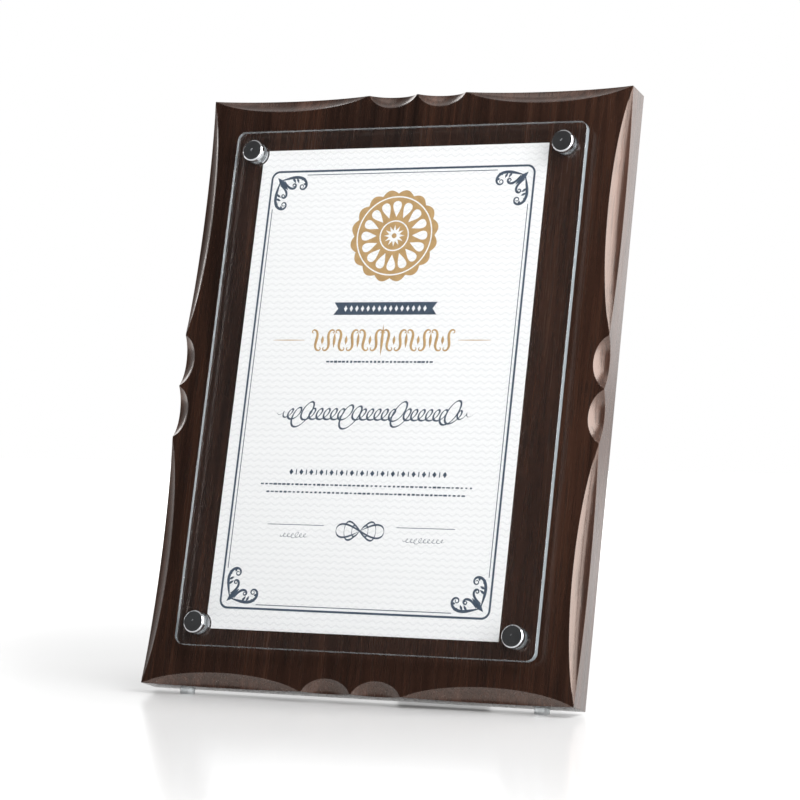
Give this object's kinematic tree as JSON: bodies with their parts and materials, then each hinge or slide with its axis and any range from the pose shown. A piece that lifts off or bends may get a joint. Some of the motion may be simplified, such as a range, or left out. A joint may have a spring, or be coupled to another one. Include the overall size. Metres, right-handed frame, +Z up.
{
  "type": "wooden award plaque",
  "caption": "Leaning wooden award plaque with scalloped front edges, a printed sheet behind a clear plate on round stand-offs, an easel strut and a keyhole hanger.",
  "frame": {"origin": "middle of the footprint, on the table that the plaque stands on", "axes": "+Z up, +X to the right along the board's width as seen from the front, front of the board towards -Y and leaning back towards +Y"},
  "size_m": [0.25, 0.1298, 0.3246],
  "materials": {
    "walnut": "dark stained walnut under satin lacquer",
    "velour": "black flocked velour, matt",
    "printed_sheet": "white card with slate and gold print",
    "clear_acrylic": "clear, polished faces and edges",
    "chrome": "polished",
    "turned_steel": "turned and bright",
    "clear_nylon": "translucent, satin",
    "zinc_plate": "bright zinc plated",
    "black_board": "black stained hardboard edge",
    "black_rubber": "matt",
    "clear_rubber": "translucent, satin"
  },
  "bodies": {
    "board": {"board": "walnut", "back_felt": "velour", "certificate": "printed_sheet", "acrylic_plate": "clear_acrylic", "socket_top_left": "turned_steel", "socket_top_right": "turned_steel", "socket_bottom_left": "turned_steel", "socket_bottom_right": "turned_steel", "rear_washer_top_left": "clear_nylon", "rear_washer_top_right": "clear_nylon", "rear_washer_bottom_left": "clear_nylon", "rear_washer_bottom_right": "clear_nylon", "front_washer_top_left": "clear_nylon", "front_washer_top_right": "clear_nylon", "front_washer_bottom_left": "clear_nylon", "front_washer_bottom_right": "clear_nylon", "keyhole_plate": "zinc_plate", "keyhole_screws": "zinc_plate", "hinge_fixed_leaf": "zinc_plate", "hinge_fixed_screws": "zinc_plate", "hinge_pin": "turned_steel", "foot_pad_left": "clear_rubber", "foot_pad_right": "clear_rubber"},
    "strut": {"hinge_moving_leaf": "zinc_plate", "hinge_moving_screws": "zinc_plate", "strut_leg": "black_board", "strut_felt": "velour", "strut_foot": "black_rubber"},
    "stud_top_left": {"stud_top_left": "turned_steel"},
    "cap_top_left": {"cap_top_left": "chrome"},
    "stud_top_right": {"stud_top_right": "turned_steel"},
    "cap_top_right": {"cap_top_right": "chrome"},
    "stud_bottom_left": {"stud_bottom_left": "turned_steel"},
    "cap_bottom_left": {"cap_bottom_left": "chrome"},
    "stud_bottom_right": {"stud_bottom_right": "turned_steel"},
    "cap_bottom_right": {"cap_bottom_right": "chrome"}
  },
  "joints": [
    {"name": "strut_hinge", "type": "hinge", "parent": "board", "child": "strut", "pos_m": [0, 0.01437, 0.20802], "axis": [-1, 0, 0], "range_deg": [0, 28.01]},
    {"name": "cap_top_left_travel", "type": "slide", "parent": "board", "child": "stud_top_left", "axis": [0, -0.9659, 0.2588], "range_m": [0, 0.0056]},
    {"name": "cap_top_left_turn", "type": "hinge", "parent": "stud_top_left", "child": "cap_top_left", "pos_m": [-0.092, 0.00773, 0.29469], "axis": [0, -0.9659, 0.2588], "range_deg": [0, 2890]},
    {"name": "cap_top_right_travel", "type": "slide", "parent": "board", "child": "stud_top_right", "axis": [0, -0.9659, 0.2588], "range_m": [0, 0.0056]},
    {"name": "cap_top_right_turn", "type": "hinge", "parent": "stud_top_right", "child": "cap_top_right", "pos_m": [0.092, 0.00773, 0.29469], "axis": [0, -0.9659, 0.2588], "range_deg": [0, 2890]},
    {"name": "cap_bottom_left_travel", "type": "slide", "parent": "board", "child": "stud_bottom_left", "axis": [0, -0.9659, 0.2588], "range_m": [0, 0.0056]},
    {"name": "cap_bottom_left_turn", "type": "hinge", "parent": "stud_bottom_left", "child": "cap_bottom_left", "pos_m": [-0.092, -0.0606, 0.03969], "axis": [0, -0.9659, 0.2588], "range_deg": [0, 2890]},
    {"name": "cap_bottom_right_travel", "type": "slide", "parent": "board", "child": "stud_bottom_right", "axis": [0, -0.9659, 0.2588], "range_m": [0, 0.0056]},
    {"name": "cap_bottom_right_turn", "type": "hinge", "parent": "stud_bottom_right", "child": "cap_bottom_right", "pos_m": [0.092, -0.0606, 0.03969], "axis": [0, -0.9659, 0.2588], "range_deg": [0, 2890]}
  ],
  "couplings": [
    {"joint": "cap_top_left_turn", "follows": "cap_top_left_travel", "rad_per_m": 8976},
    {"joint": "cap_top_right_turn", "follows": "cap_top_right_travel", "rad_per_m": 8976},
    {"joint": "cap_bottom_left_turn", "follows": "cap_bottom_left_travel", "rad_per_m": 8976},
    {"joint": "cap_bottom_right_turn", "follows": "cap_bottom_right_travel", "rad_per_m": 8976}
  ]
}
